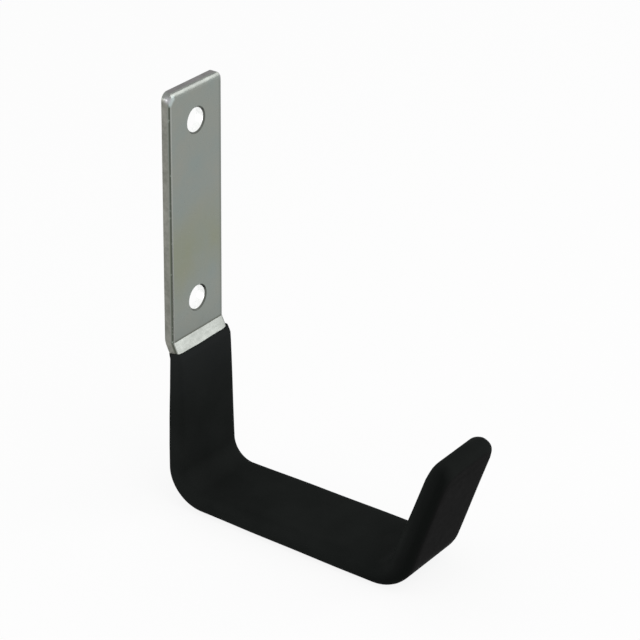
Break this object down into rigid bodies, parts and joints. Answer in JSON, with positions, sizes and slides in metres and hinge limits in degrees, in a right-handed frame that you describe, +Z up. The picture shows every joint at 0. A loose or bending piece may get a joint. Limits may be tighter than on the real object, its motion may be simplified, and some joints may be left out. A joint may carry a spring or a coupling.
{
  "type": "garage utility hook",
  "caption": "Wall hook bent from flat zinc-plated steel strap: screw plate, offset bend, level arm and turned-up tip in a soft black vinyl sleeve, for hanging hoses, ladders and tools.",
  "frame": {"origin": "on the plate's back face, at the wall, midway between the two screw holes", "axes": "+X across the strap, +Y into the wall with the arm reaching towards -Y, +Z up"},
  "size_m": [0.0296, 0.1034, 0.1375],
  "materials": {
    "zinc_steel": "satin zinc plating on flat steel strap, brighter on bends and worn edges",
    "black_vinyl": "soft black dipped vinyl, low sheen"
  },
  "bodies": {
    "root": {"steel_strap": "zinc_steel", "vinyl_sleeve": "black_vinyl"}
  },
  "joints": []
}
